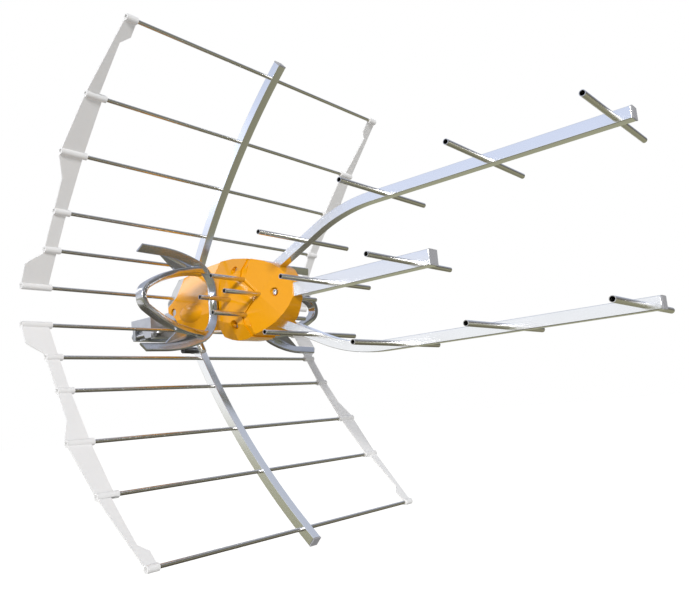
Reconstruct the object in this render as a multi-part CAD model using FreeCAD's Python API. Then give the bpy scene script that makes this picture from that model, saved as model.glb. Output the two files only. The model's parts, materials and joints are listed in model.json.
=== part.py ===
import FreeCAD
import Part
import math
import os

# UHF television antenna with a curved rod reflector, a cast dipole and three director booms.
# Millimetres. X runs along the rods, the directors point to -Y, +Z is up.
# The shapes are built about the innermost reflector rods and moved at the end, so that
# the origin lies on the mast axis at the middle of the mast clamp.

V = FreeCAD.Vector
os.makedirs("parts", exist_ok=True)

# Fits
FIT = 0.05                # all round a rod, tube, boom or screw in its hole
PLUG_FIT = 0.1            # all round an end plug in its boom
SLIDE_FIT = 0.3           # all round the clamp bolts where they slide through bracket, washer and nut
WIDE = 150.0              # reach of a cutter past whatever it cuts

# Reflector panels
ROD_D = 5.0
ROD_UNIT = 25.0           # the rods stand whole numbers of units apart
ROD_STATIONS = tuple(ROD_UNIT * n for n in (0, 2, 4, 7, 10, 14))
CAP_ENDS = (259.0, 241.0, 241.0, 254.0, 247.0, 235.0)
FIRST_ROD_Z = 24.2
PANEL_LEAN = math.radians(29.3)
PANEL_STRAIGHT = 60.0
PANEL_R = 950.0
BOOM = 12.7               # outside of the square booms
BOOM_WALL = 1.2
ROOT_LENGTH = 10.0        # boom behind the first rod
TIP_LENGTH = 22.0         # boom past the last rod

# End strips
CAP_D = 8.6
CAP_INNER = 220.0
CAP_BORE_DEPTH = 7.0      # open bore past the rod end
STRIP_T = 2.0
STRIP_INNER = 224.5
NECK_INNER = 230.5        # inner edge of the outermost band past its step
NECK_STEP = (0.20, 0.30)
NOTCH_STEP = (0.07, 0.43)
SWELL_STEP = (0.12, 0.32, 0.43)
SWELL_X = (1.0, -4.0, 1.5)          # edge past the caps at those steps
CAP_OPEN = 5.0            # bore cutter past the cap

# Director booms
DIRECTOR_D = 6.3
DIRECTOR_WALL = 0.6
DIRECTOR_HALF = 85.0
OUTER_Z = 90.7
OUTER_RISE = math.radians(23.5)
OUTER_BEND_R = 230.0
OUTER_CORNER_Y = -313.0
OUTER_START_Y = -172.0
OUTER_TIP_Y = -673.5
OUTER_FIRST_Y = -246.4
OUTER_TIP_GAP = 16.2      # from the boom end to the last director
OUTER_PITCH = 138.9
MIDDLE_W = 16.0
MIDDLE_H = 18.5
MIDDLE_WALL = 1.5
MIDDLE_START_Y = -190.0
MIDDLE_TIP_Y = -437.5
MIDDLE_FIRST_Y = -279.2
MIDDLE_PITCH = 128.6
PLUG_FACE = 1.5
PLUG_DEPTH = 8.0

# Short directors through the housing
STUB_HALF = 86.0
STUB_YZ = ((-131.0, 0.0), (-155.0, 24.0), (-155.0, -24.0), (-179.5, 0.0))

# Front housing
SEAM_Y = -95.0
NOSE = ((-163.0, 52.5), (-184.0, 46.0), (-198.0, 39.5), (-210.0, 31.0), (-218.5, 21.0), (-225.0, 10.0))
CROWN = ((SEAM_Y, 62.5), (-121.0, 61.2), (-148.0, 55.8)) + NOSE      # upper outline from the side
BELLY = ((SEAM_Y, 46.0), (-111.0, 52.0), (-127.0, 55.5), (-144.0, 55.7)) + NOSE   # depth of the lower one
PLAN = ((33.0, SEAM_Y), (36.0, -125.0), (36.0, -131.0), (27.0, -179.0), (9.4, -225.0))
BROW = ((36.0, 31.0), (16.0, 63.0))
APEX = (27.0, -179.0, 0.0)          # where the three front facets of a flank meet
RIDGE = (16.7, -206.0, 30.0)        # far end of the ridge between front and upper facet
CORNER = (30.0, -157.0, 21.0)       # rear corner of the upper facet
FACET_TOP_Y = -163.5                # rear edge of the upper facet at the top
FACET_TOP_Z = 47.0
CHIN = ((36.0, -125.0, -31.0), (24.0, -129.0, -50.0), (33.0, SEAM_Y, -22.0))   # low rear facet
GROOVE = 8.0                        # wide groove along the facet's upper rear edge
SEAM_LINE = 1.3                     # fine groove along the facet's lower rear edge
GROOVE_DEPTH = 2.2
SCREW_D = 4.0
SCREW_HEAD_D = 7.4
SCREW_HEAD = 2.8
SCREW_SOCKET = 1.6
SCREW_SLOT = 0.3          # half length of the cross slots as a share of the head
WELL_D = 12.0
SCREW_END = 16.0
SCREWS = ((-201.0, 0.0, -15.0), (-137.0, 40.0, -21.0), (-136.0, -35.0, -24.0))

# Rear body
BODY_HALF = 29.0
REAR_TOP = ((-13.5, 53.5), (-6.8, 24.0), (5.0, 17.3), (14.0, 12.0))   # seam with the rear cover
UNDER_WALL = ((-1.5, -5.7), (-13.0, -25.0), (-13.5, -31.0))           # wall against the reflector socket
BODY_OUTLINE = ((SEAM_Y, 62.0), (-62.0, 60.5)) + REAR_TOP + ((13.7, 3.8),) + UNDER_WALL
BODY_OUTLINE += ((-45.0, -31.0), (SEAM_Y, -36.0))
BODY_BROW = ((BODY_HALF, 24.0), (15.0, 62.0))
BODY_KEEL = ((BODY_HALF, -10.0), (11.0, -47.0))
FLANK = ((BODY_HALF, -7.0, 24.0), (BODY_HALF, -60.0, 12.0), (17.0, -60.0, 60.0))   # upper flank facet
COLLAR = (24.0, 34.0, 16.0)     # half width, half height and depth of the part inside the shells
CAVITY = (17.0, 26.0)
CAVITY_REAR_Y = -45.0
BUMP_YZ = (-38.5, -2.9)
BUMP_AXES = (31.0, 15.0)
BUMP_SINK = 7.7           # middle of the bump inside the flank

# Rear cover and reflector socket
COVER_BACK = ((14.0, 19.0), (8.0, 28.0), (6.0, 38.0), (-1.0, 53.0))
COVER_STEP = 0.5          # cover above the tongue
SADDLE_WALL = 3.0
SADDLE_HALF = 12.0
COVER_TOP_Z = 52.0
SOCKET_TOP_Z = -8.3
SOCKET_END_Z = -42.0
SOCKET_REAR = ((12.0, -17.0), (10.0, SOCKET_TOP_Z))
TAB_HALF = 6.0
TAB_END = 33.0            # along the boom from the first rod
TAB_T = 6.0
LUG_YZ = (-7.2, -54.0)
LUG_D = 9.5
LUG_BORE_D = 3.6
LUG_BORE = 9.0
LUG_END_X = -22.0

# Dipole halves
BAND_X = 38.0             # edge of the upright next to the housing
BAND_STRAIGHT = 16.0
BAND_R = 41.5
BAND_TURN = 68.0
ARM_R = 170.0
ARM_TURN = 21.0
ARM_CUT = ((154.0, 67.5), (160.0, 57.0))
BAND_SECTION = ((-10.0, -102.5), (0.0, -108.7), (2.4, -104.9), (-7.6, -98.7))
BAND_ROUND = 1.3
LOOP_START = (52.0, 43.5)
LOOP_LEG_R = 185.0
LOOP_TIP_R = 17.0
LOOP_SWEEP = 5.4          # degrees the loops lean forward from the bands
LOOP_SECTION = ((4.0, -105.0), (4.0, -91.5), (-6.5, -91.5), (-3.5, -105.0))
LOOP_ROUND = 1.4
ARM_SPARE = 20.0          # past the slanted end, taken off
GUSSET = ((60.0, 40.0), (97.5, 37.0), (124.0, 60.0), (92.0, 62.0), (72.0, 54.0), (60.0, 46.0))
GUSSET_Y = (-102.0, -98.5)
FOOT_INNER = 10.0
FOOT_OVERLAP = 6.0        # foot into the band
FOOT_HALF_Z = 9.0
FOOT_Y = (-107.0, -97.0)
BOARD_T = 1.6
BOARD_MARGIN = 0.5

# Connector
PORT_AT = (-12.0, -25.1, -31.0)      # where its axis leaves the rear body, parallel to the lower boom
PORT_REACH = 33.5
PORT_COLLAR = (13.0, 11.0, 19.0)     # wide end, narrow end and length of the tapered collar
PORT_D = 9.4
PORT_BORE_D = 7.4
PORT_BORE = 11.0
PORT_TAIL = 4.0           # into the rear body
PORT_TAIL_D = 8.0
PIN_HOLE_D = 1.2
PIN_DEPTH = 8.0
INSULATOR_SET = 1.0       # insulator behind the barrel's mouth

# Mast clamp
MAST_Y = 74.0
MAST_R = 20.0
CLAMP_TOP_Z = 0.0
CLAMP_LENGTH = 28.0
WEB_Y = 47.0
PLATE_T = 3.0
BRACKET_HALF = 38.0
BRACKET_TOP_Z = 3.0
FLANGE_END_Y = 97.0
FLANGE_NOSE = ((62.0, -28.0), (70.0, -14.0), (FLANGE_END_Y, -7.0))
SADDLE_REACH = 12.0       # from the mast's near side to the ends of the arc
SADDLE_X = 25.0
JAW_X = 34.0
JAW_BACK_T = 6.0
BOLT_X = 28.5
BOLT_D = 6.0
BOLT_Z = -21.0
BOLT_HEAD = 3.2
BOLT_HEAD_D = 13.0
BOLT_END_Y = 30.0
NUT_FLATS = 10.0
NUT_T = 5.0
WASHER_D = 12.5
WASHER_T = 1.6
TONGUE_HALF = 9.0
TONGUE_Z = (-4.0, 10.0)
TONGUE_FRONT_Y = -9.0
CROSS_YZ = (1.5, 3.0)
CROSS_D = 6.0
CROSS_WELL_D = 12.0
CROSS_SEAT_X = 23.0
CROSS_FLATS = 9.0
CROSS_HEAD = 4.0
CROSS_NUT = 4.5
CROSS_END = 5.5           # bolt past the nut's seat
VIAL_D = 5.0
VIAL_HALF = 7.0
VIAL_Z = -7.0
VIAL_SINK = 0.6           # vial axis in front of the web's face


def box(x0, x1, y0, y1, z0, z1):
    return Part.makeBox(x1 - x0, y1 - y0, z1 - z0, V(x0, y0, z0))


def bar(x0, x1, y, z, d):
    return Part.makeCylinder(d / 2, x1 - x0, V(x0, y, z), V(1, 0, 0))


def shaft(y0, y1, x, z, d):
    return Part.makeCylinder(d / 2, y1 - y0, V(x, y0, z), V(0, 1, 0))


def post(z0, z1, x, y, d):
    return Part.makeCylinder(d / 2, z1 - z0, V(x, y, z0), V(0, 0, 1))


def prism(points, sweep):
    return Part.Face(Part.makePolygon(list(points) + [points[0]])).extrude(sweep)


def side_prism(points, half):
    return prism([V(-half, y, z) for y, z in points], V(2 * half, 0, 0))


def plan_prism(points, z0, z1):
    return prism([V(x, y, z0) for x, y in points], V(0, 0, z1 - z0))


def front_prism(points, y0, y1):
    return prism([V(x, y0, z) for x, z in points], V(0, y1 - y0, 0))


def tilted(start, z_up, d0, d1, length):
    # Round or tapered post that leans like the lower reflector boom; z_up is +1 or -1
    lean = V(0, math.sin(PANEL_LEAN), math.cos(PANEL_LEAN)) * z_up
    if d0 == d1:
        return Part.makeCylinder(d0 / 2, length, start, lean)
    return Part.makeCone(d0 / 2, d1 / 2, length, start, lean)


def hexagon(flats):
    r = flats / math.sqrt(3)
    return [(r * math.cos(math.radians(60 * i)), r * math.sin(math.radians(60 * i))) for i in range(6)]


def flip_x(shape):
    return shape.mirror(V(0, 0, 0), V(1, 0, 0))


def flip_z(shape):
    return shape.mirror(V(0, 0, 0), V(0, 0, 1))


def rounded_face(points, r):
    edges = []
    joints = []
    for i, p in enumerate(points):
        a = (points[i - 1] - p).normalize()
        b = (points[(i + 1) % len(points)] - p).normalize()
        half = a.getAngle(b) / 2
        reach = r / math.tan(half)
        middle = p + (a + b).normalize() * (r / math.sin(half) - r)
        joints.append((p + a * reach, middle, p + b * reach))
    for i, (t1, middle, t2) in enumerate(joints):
        edges.append(Part.Arc(t1, middle, t2).toShape())
        edges.append(Part.LineSegment(t2, joints[(i + 1) % len(joints)][0]).toShape())
    return Part.Face(Part.Wire(edges))


# Boom paths: a station is (y, z, heading), heading being the angle above -Y
def side(station, offset):
    y, z, heading = station
    return V(0, y + offset * math.sin(heading), z + offset * math.cos(heading))


def ahead(station, distance):
    y, z, heading = station
    return (y - distance * math.cos(heading), z + distance * math.sin(heading), heading)


def channel(path, half_h, half_w):
    def run(offset):
        edges = []
        for start, middle, end in path:
            if middle is None:
                edges.append(Part.LineSegment(side(start, offset), side(end, offset)).toShape())
            else:
                curve = Part.Arc(side(start, offset), side(middle, offset), side(end, offset))
                edges.append(curve.toShape())
        return edges

    first = path[0][0]
    last = path[-1][2]
    ends = [Part.LineSegment(side(s, half_h), side(s, -half_h)).toShape() for s in (first, last)]
    wire = Part.Wire(Part.__sortEdges__(run(half_h) + run(-half_h) + ends))
    face = Part.Face(wire)
    face.translate(V(-half_w, 0, 0))
    return face.extrude(V(2 * half_w, 0, 0))


def hollow(path, h, w, wall):
    return channel(path, h / 2, w / 2).cut(channel(path, h / 2 - wall, w / 2 - wall))


def end_plug(station, h, w, wall):
    face = channel([(station, None, ahead(station, PLUG_FACE))], h / 2, w / 2)
    inset = wall + PLUG_FIT
    tail = channel([(ahead(station, -PLUG_DEPTH), None, station)], h / 2 - inset, w / 2 - inset)
    return face.fuse(tail).removeSplitter()


def tube(half, y, z):
    outer = bar(-half, half, y, z, DIRECTOR_D)
    return outer.cut(bar(-half, half, y, z, DIRECTOR_D - 2 * DIRECTOR_WALL))


nodes = {}


# Reflector booms, rods and end strips
def panel(s):
    if s <= PANEL_STRAIGHT:
        heading = math.pi / 2 - PANEL_LEAN
        return (-s * math.sin(PANEL_LEAN), FIRST_ROD_Z + s * math.cos(PANEL_LEAN), heading)
    knee_y, knee_z = panel(PANEL_STRAIGHT)[:2]
    lean = PANEL_LEAN + (s - PANEL_STRAIGHT) / PANEL_R
    y = knee_y + PANEL_R * (math.cos(lean) - math.cos(PANEL_LEAN))
    z = knee_z + PANEL_R * (math.sin(lean) - math.sin(PANEL_LEAN))
    return (y, z, math.pi / 2 - lean)


panel_end = ROD_STATIONS[-1] + TIP_LENGTH
panel_path = [(panel(-ROOT_LENGTH), None, panel(PANEL_STRAIGHT)),
              (panel(PANEL_STRAIGHT), panel((PANEL_STRAIGHT + panel_end) / 2), panel(panel_end))]
rods_yz = [panel(s)[:2] for s in ROD_STATIONS]

reflector_boom = hollow(panel_path, BOOM, BOOM, BOOM_WALL)
for y, z in rods_yz:
    reflector_boom = reflector_boom.cut(bar(-BOOM, BOOM, y, z, ROD_D + 2 * FIT))
reflector_plug = end_plug(panel(panel_end), BOOM, BOOM, BOOM_WALL)
nodes["upper_reflector_boom"] = reflector_boom
nodes["upper_reflector_boom_plug"] = reflector_plug
nodes["lower_reflector_boom"] = flip_z(reflector_boom)
nodes["lower_reflector_boom_plug"] = flip_z(reflector_plug)

for i, (y, z) in enumerate(rods_yz):
    reach = CAP_ENDS[i] - CAP_BORE_DEPTH
    rod = bar(-reach, reach, y, z, ROD_D)
    nodes["upper_reflector_rod_%d" % (i + 1)] = rod
    nodes["lower_reflector_rod_%d" % (i + 1)] = flip_z(rod)


def band(i, outer, inner):
    # Flat web between rod i and the next one inwards; points are (share of the way, x)
    y0, z0 = rods_yz[i]
    y1, z1 = rods_yz[i - 1]
    along = V(0, y1 - y0, z1 - z0)
    normal = V(0, z0 - z1, y1 - y0).normalize()
    start = V(0, y0, z0) - normal * (STRIP_T / 2)
    points = [start + along * t + V(x, 0, 0) for t, x in list(outer) + list(reversed(inner))]
    return prism(points, normal * STRIP_T)


def end_strip():
    straight = ((0.0, STRIP_INNER), (1.0, STRIP_INNER))
    last = len(rods_yz) - 1
    web = None
    for i in range(last, 0, -1):
        near = CAP_ENDS[i]
        far = CAP_ENDS[i - 1]
        outer = [(0.0, near), (1.0, far)]
        inner = straight
        if i == last:
            inner = ((0.0, CAP_INNER), (NECK_STEP[0], CAP_INNER), (NECK_STEP[1], NECK_INNER),
                     (1.0, NECK_INNER))
        if i == last - 2:
            outer = [(0.0, near), (NOTCH_STEP[0], near), (NOTCH_STEP[1], far + SWELL_X[2]), (1.0, far)]
        if i == 1:
            swell = [near + SWELL_X[0], far + SWELL_X[1], far + SWELL_X[2]]
            outer = [(0.0, near)] + list(zip(SWELL_STEP, swell)) + [(1.0, far)]
        piece = band(i, outer, inner)
        web = piece if web is None else web.fuse(piece)
    for i, (y, z) in enumerate(rods_yz):
        web = web.fuse(bar(CAP_INNER, CAP_ENDS[i], y, z, CAP_D))
    for i, (y, z) in enumerate(rods_yz):
        web = web.cut(bar(CAP_INNER - CAP_OPEN, CAP_ENDS[i] + CAP_OPEN, y, z, ROD_D + 2 * FIT))
    return web.removeSplitter()


strip = end_strip()
nodes["upper_right_end_strip"] = strip
nodes["upper_left_end_strip"] = flip_x(strip)
nodes["lower_right_end_strip"] = flip_z(strip)
nodes["lower_left_end_strip"] = flip_z(flip_x(strip))

# Director booms
bend = OUTER_BEND_R * math.tan(OUTER_RISE / 2)


def outer_station(y):
    # Station on the slanted part of the outer boom
    return (y, OUTER_Z - (y - OUTER_CORNER_Y) * math.tan(OUTER_RISE), OUTER_RISE)


def bend_station(heading):
    y = OUTER_CORNER_Y - bend + OUTER_BEND_R * math.sin(heading)
    return (y, OUTER_Z - OUTER_BEND_R * (1 - math.cos(heading)), heading)


outer_tip = (OUTER_TIP_Y, OUTER_Z, 0.0)
outer_path = [(outer_station(OUTER_START_Y), None, bend_station(OUTER_RISE)),
              (bend_station(OUTER_RISE), bend_station(OUTER_RISE / 2), bend_station(0.0)),
              (bend_station(0.0), None, outer_tip)]
outer_yz = [outer_station(OUTER_FIRST_Y)[:2]]
outer_yz += [(OUTER_TIP_Y + OUTER_TIP_GAP + k * OUTER_PITCH, OUTER_Z) for k in (2, 1, 0)]
outer_boom = hollow(outer_path, BOOM, BOOM, BOOM_WALL)
for y, z in outer_yz:
    outer_boom = outer_boom.cut(bar(-BOOM, BOOM, y, z, DIRECTOR_D + 2 * FIT))
outer_plug = end_plug(outer_tip, BOOM, BOOM, BOOM_WALL)
nodes["upper_director_boom"] = outer_boom
nodes["upper_director_boom_plug"] = outer_plug
nodes["lower_director_boom"] = flip_z(outer_boom)
nodes["lower_director_boom_plug"] = flip_z(outer_plug)
for i, (y, z) in enumerate(outer_yz):
    nodes["upper_director_%d" % (i + 1)] = tube(DIRECTOR_HALF, y, z)
    nodes["lower_director_%d" % (i + 1)] = tube(DIRECTOR_HALF, y, -z)

middle_tip = (MIDDLE_TIP_Y, 0.0, 0.0)
middle_path = [((MIDDLE_START_Y, 0.0, 0.0), None, middle_tip)]
middle_boom = hollow(middle_path, MIDDLE_H, MIDDLE_W, MIDDLE_WALL)
middle_y = [MIDDLE_FIRST_Y - k * MIDDLE_PITCH for k in (0, 1)]
for y in middle_y:
    middle_boom = middle_boom.cut(bar(-MIDDLE_W, MIDDLE_W, y, 0, DIRECTOR_D + 2 * FIT))
middle_boom = middle_boom.cut(bar(-MIDDLE_W, MIDDLE_W, SCREWS[0][0], SCREWS[0][1], SCREW_D + 2 * FIT))
nodes["middle_director_boom"] = middle_boom
nodes["middle_director_boom_plug"] = end_plug(middle_tip, MIDDLE_H, MIDDLE_W, MIDDLE_WALL)
for i, y in enumerate(middle_y):
    nodes["middle_director_%d" % (i + 1)] = tube(DIRECTOR_HALF, y, 0.0)
for i, (y, z) in enumerate(STUB_YZ):
    nodes["housing_director_%d" % (i + 1)] = tube(STUB_HALF, y, z)


# Dipole halves
def swing(face, centre, sense, turn):
    # Solid swept by a section turning about Y; the section is left at the far end
    swept = face.revolve(centre, V(0, sense, 0), turn)
    face.rotate(centre, V(0, sense, 0), turn)
    return swept


def dipole_quarter(right, up):
    # One band and half a loop; right and up are +1 or -1 and place it left or right, above or below
    sense = right * up

    def section(corners, place, r):
        points = [place(u, y) for u, y in corners]
        return rounded_face([V(right * p.x, p.y, up * p.z) for p in points], r)

    face = section(BAND_SECTION, lambda u, y: V(BAND_X - u, y, 0), BAND_ROUND)
    rise = V(0, 0, up * BAND_STRAIGHT)
    upright = face.extrude(rise)
    face.translate(rise)
    turn = math.radians(BAND_TURN)
    corner_x = BAND_X + BAND_R
    corner = swing(face, V(right * corner_x, 0, up * BAND_STRAIGHT), sense, BAND_TURN)
    bow_x = corner_x + (ARM_R - BAND_R) * math.cos(turn)
    bow_z = BAND_STRAIGHT - (ARM_R - BAND_R) * math.sin(turn)
    bow = swing(face, V(right * bow_x, 0, up * bow_z), sense, ARM_TURN)
    (x0, z0), (x1, z1) = ARM_CUT
    turn += math.radians(ARM_TURN)
    reach = x1 + ARM_SPARE / 2 - bow_x + ARM_R * math.cos(turn)
    arm = face.extrude(V(right * math.sin(turn), 0, up * math.cos(turn)) * reach)
    past = [(2 * x0 - x1, 2 * z0 - z1), (2 * x1 - x0, 2 * z1 - z0)]
    past += [(x1 + ARM_SPARE, 2 * z1 - z0), (x1 + ARM_SPARE, 2 * z0 - z1)]
    arm = arm.cut(front_prism([(right * x, up * z) for x, z in past], -WIDE, 0))

    start_x, start_z = LOOP_START
    leg_turn = math.acos((LOOP_LEG_R - start_z) / (LOOP_LEG_R - LOOP_TIP_R))
    tip_x = start_x + (LOOP_LEG_R - LOOP_TIP_R) * math.sin(leg_turn)
    leg_turn = math.degrees(leg_turn)
    face = section(LOOP_SECTION, lambda u, y: V(start_x, y, start_z + u), LOOP_ROUND)
    leg_axis = V(right * start_x, 0, up * (start_z - LOOP_LEG_R))
    leg = swing(face, leg_axis, sense, leg_turn)
    tip = swing(face, V(right * tip_x, 0, 0), sense, 90 - leg_turn)
    hinge = V(right * start_x, LOOP_SECTION[0][1], 0)
    for piece in (leg, tip):
        piece.rotate(hinge, V(0, 0, 1), -right * LOOP_SWEEP)
    gusset = front_prism([(right * x, up * z) for x, z in GUSSET], GUSSET_Y[0], GUSSET_Y[1])
    return upright.fuse([corner, bow, arm, leg, tip, gusset])


def dipole(right):
    inner, outer = sorted((right * FOOT_INNER, right * (BAND_X + FOOT_OVERLAP)))
    foot = box(inner, outer, FOOT_Y[0], FOOT_Y[1], -FOOT_HALF_Z, FOOT_HALF_Z)
    return dipole_quarter(right, 1).fuse([dipole_quarter(right, -1), foot]).removeSplitter()


nodes["right_dipole"] = dipole(1)
nodes["left_dipole"] = dipole(-1)


# Housing shells
def outline(upper, lower):
    return list(upper) + [(y, -z) for y, z in reversed(lower)]


def brow_cut(brow, keel, y0, y1):
    # Front view that bevels the long edges: brow above, keel below, both as (half width, z)
    (w0, z0), (w1, z1) = brow
    (w2, z2), (w3, z3) = keel
    right = [(w0, z0), (w1, z1)]
    left = [(-w1, z1), (-w0, z0), (-w2, z2), (-w3, z3)]
    return front_prism(right + left + [(w3, z3), (w2, z2)], y0, y1)


def below(profile):
    return [(w, -z) for w, z in profile]


def faceted(inset):
    upper = [(y, z - inset) for y, z in CROWN]
    lower = [(y, z - inset) for y, z in BELLY]
    body = side_prism(outline(upper, lower), WIDE)
    plan = [(x - inset, y) for x, y in PLAN]
    body = body.common(plan_prism(plan + [(-x, y) for x, y in reversed(plan)], -WIDE, WIDE))
    brow = [(w - inset, z) for w, z in BROW]
    return body.common(brow_cut(brow, below(brow), -2 * WIDE, 0))


def outside(a, b, c):
    # Slab on the outer side of the plane through three points
    a, b, c = V(*a), V(*b), V(*c)
    along = (b - a).normalize()
    normal = (b - a).cross(c - a).normalize()
    if normal.x < 0:
        normal = normal * -1
    across = normal.cross(along)
    corners = [(along - across), (along + across), (across - along), (along + across) * -1]
    return prism([a + corner * WIDE for corner in corners], normal * WIDE)


def front_shell():
    edge = [(FACET_TOP_Y, WIDE), (FACET_TOP_Y, FACET_TOP_Z), CORNER[1:], APEX[1:]]
    front_region = side_prism(outline(edge, edge) + [(-2 * WIDE, -WIDE), (-2 * WIDE, WIDE)], WIDE)
    body = faceted(0.0)
    front = body.common(front_region)
    slab = outside(APEX, RIDGE, CORNER)
    for cutter in (slab, flip_x(slab), flip_z(slab), flip_x(flip_z(slab))):
        front = front.cut(cutter)
    chin = outside(*CHIN).common(box(-WIDE, WIDE, CHIN[1][1], SEAM_Y, -WIDE, 0))
    body = body.cut(front_region).cut(chin).cut(flip_x(chin)).fuse(front)
    wide = edge[:3] + [(y + GROOVE, z) for y, z in reversed(edge[:3])]
    fine = edge[2:] + [(y + SEAM_LINE, z) for y, z in reversed(edge[2:])]
    core = faceted(GROOVE_DEPTH)
    for line in (wide, fine):
        groove = side_prism(line, WIDE).cut(core)
        body = body.cut(groove).cut(flip_z(groove))
    return body.removeSplitter()


collar_x, collar_z, collar_depth = COLLAR
collar = box(-collar_x, collar_x, SEAM_Y - collar_depth, SEAM_Y, -collar_z, collar_z)
foot_slot = box(-WIDE, WIDE, FOOT_Y[0] - FIT, SEAM_Y, -FOOT_HALF_Z - FIT, FOOT_HALF_Z + FIT)
shell = front_shell().cut(collar).cut(foot_slot)
boom_pocket = channel(outer_path, BOOM / 2 + FIT, BOOM / 2 + FIT)
shell = shell.cut(boom_pocket).cut(flip_z(boom_pocket))
shell = shell.cut(channel(middle_path, MIDDLE_H / 2 + FIT, MIDDLE_W / 2 + FIT))
for y, z in STUB_YZ:
    shell = shell.cut(bar(-WIDE, WIDE, y, z, DIRECTOR_D + 2 * FIT))
screws = []
for y, z, seat in SCREWS:
    shell = shell.cut(bar(seat, SCREW_END, y, z, SCREW_D + 2 * FIT))
    shell = shell.cut(bar(-WIDE, seat, y, z, WELL_D))
    head = bar(seat - SCREW_HEAD, seat, y, z, SCREW_HEAD_D)
    slot = SCREW_HEAD_D * SCREW_SLOT
    for half_y, half_z in ((slot, SCREW_SOCKET / 2), (SCREW_SOCKET / 2, slot)):
        cross = box(seat - SCREW_HEAD, seat - SCREW_HEAD / 3, y - half_y, y + half_y, z - half_z, z + half_z)
        head = head.cut(cross)
    screws.append(head.fuse(bar(seat, SCREW_END, y, z, SCREW_D)).removeSplitter())
nodes["left_front_shell"] = shell.common(box(-WIDE, 0, -2 * WIDE, 0, -WIDE, WIDE))
nodes["right_front_shell"] = shell.common(box(0, WIDE, -2 * WIDE, 0, -WIDE, WIDE))
nodes["housing_screws"] = Part.makeCompound(screws)


# Rear body
def bump():
    major, minor = BUMP_AXES
    arch = Part.ArcOfEllipse(Part.Ellipse(V(0, 0, 0), major, minor), 0, math.pi).toShape()
    base = Part.LineSegment(V(-major, 0, 0), V(major, 0, 0)).toShape()
    egg = Part.Face(Part.Wire([arch, base])).revolve(V(0, 0, 0), V(1, 0, 0), 360)
    egg.rotate(V(0, 0, 0), V(0, 0, 1), 90)
    egg.translate(V(BUMP_SINK - BODY_HALF, BUMP_YZ[0], BUMP_YZ[1]))
    return egg


body = side_prism(BODY_OUTLINE, BODY_HALF)
bevel = brow_cut(BODY_BROW, BODY_KEEL, -2 * WIDE, WIDE)
flank = outside(*FLANK)
body = body.common(bevel).cut(flank).cut(flip_x(flank))
left_bump = bump().common(box(-WIDE, 0, -WIDE, WIDE, -WIDE, WIDE))
body = body.fuse([left_bump, flip_x(left_bump), collar]).removeSplitter()
cavity_x, cavity_z = CAVITY
cavity = box(-cavity_x, cavity_x, FOOT_Y[0] - FIT, CAVITY_REAR_Y, -cavity_z, cavity_z)
body = body.cut(cavity).cut(foot_slot)
tongue_slot = box(-TONGUE_HALF, TONGUE_HALF, TONGUE_FRONT_Y, WIDE, TONGUE_Z[0], TONGUE_Z[1])
body = body.cut(tongue_slot)
cross_y, cross_z = CROSS_YZ
body = body.cut(bar(-WIDE, WIDE, cross_y, cross_z, CROSS_D + 2 * FIT))
for x0, x1 in ((-WIDE, -CROSS_SEAT_X), (CROSS_SEAT_X, WIDE)):
    body = body.cut(bar(x0, x1, cross_y, cross_z, CROSS_WELL_D))
port_root = V(*PORT_AT)
up_boom = V(0, math.sin(PANEL_LEAN), math.cos(PANEL_LEAN))
port_hole = PORT_TAIL_D + 2 * FIT
body = body.cut(tilted(port_root - up_boom * PORT_TAIL, 1, port_hole, port_hole, 2 * PORT_TAIL))
root_pocket = channel(panel_path[:1], BOOM / 2 + FIT, BOOM / 2 + FIT)
first_rod_hole = bar(-WIDE, WIDE, rods_yz[0][0], rods_yz[0][1], ROD_D + 2 * FIT)
lower_pocket = flip_z(root_pocket)
body = body.cut(root_pocket).cut(lower_pocket).cut(first_rod_hole)
nodes["rear_body"] = body

board_x = cavity_x - BOARD_MARGIN
board_z = cavity_z - BOARD_MARGIN
board = box(-board_x, board_x, FOOT_Y[1], FOOT_Y[1] + BOARD_T, -board_z, board_z)
nodes["balun_board"] = board

# Rear cover round the upper reflector boom's root
cover = side_prism(REAR_TOP + COVER_BACK, BODY_HALF)
cover = cover.common(bevel).cut(flank).cut(flip_x(flank))
root_station = panel(-ROOT_LENGTH)
span = BOOM / 2 + SADDLE_WALL
saddle = channel([(ahead(root_station, -SADDLE_WALL), None, panel(PANEL_STRAIGHT))], span, SADDLE_HALF)
saddle = saddle.common(box(-WIDE, WIDE, -WIDE, WIDE, TONGUE_Z[1] + COVER_STEP, COVER_TOP_Z))
cover = cover.fuse(saddle).cut(body).cut(root_pocket).cut(first_rod_hole)
nodes["rear_cover"] = cover.removeSplitter()

# Reflector socket below the rear body
root = flip_z(channel([(ahead(root_station, -SADDLE_WALL), None, panel(PANEL_STRAIGHT))], span, SADDLE_HALF))
root = root.common(box(-WIDE, WIDE, -WIDE, WIDE, SOCKET_END_Z, SOCKET_TOP_Z))
filler = side_prism(((UNDER_WALL[0][0], SOCKET_TOP_Z),) + UNDER_WALL[1:] + SOCKET_REAR, SADDLE_HALF)
lug_y, lug_z = LUG_YZ
tab_line = [side(panel(s), offset) for s, offset in
            ((0.0, 0.0), (TAB_END, 0.0), (TAB_END, BOOM / 2 + TAB_T), (0.0, BOOM / 2 + TAB_T))]
tab = side_prism([(p.y, -p.z) for p in tab_line], TAB_HALF)
lug = bar(LUG_END_X, -TAB_HALF / 2, lug_y, lug_z, LUG_D)
socket = filler.fuse([root, tab, lug]).cut(body).cut(lower_pocket).cut(flip_z(first_rod_hole))
socket = socket.cut(bar(LUG_END_X, LUG_END_X + LUG_BORE, lug_y, lug_z, LUG_BORE_D))
nodes["reflector_socket"] = socket.removeSplitter()

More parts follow.
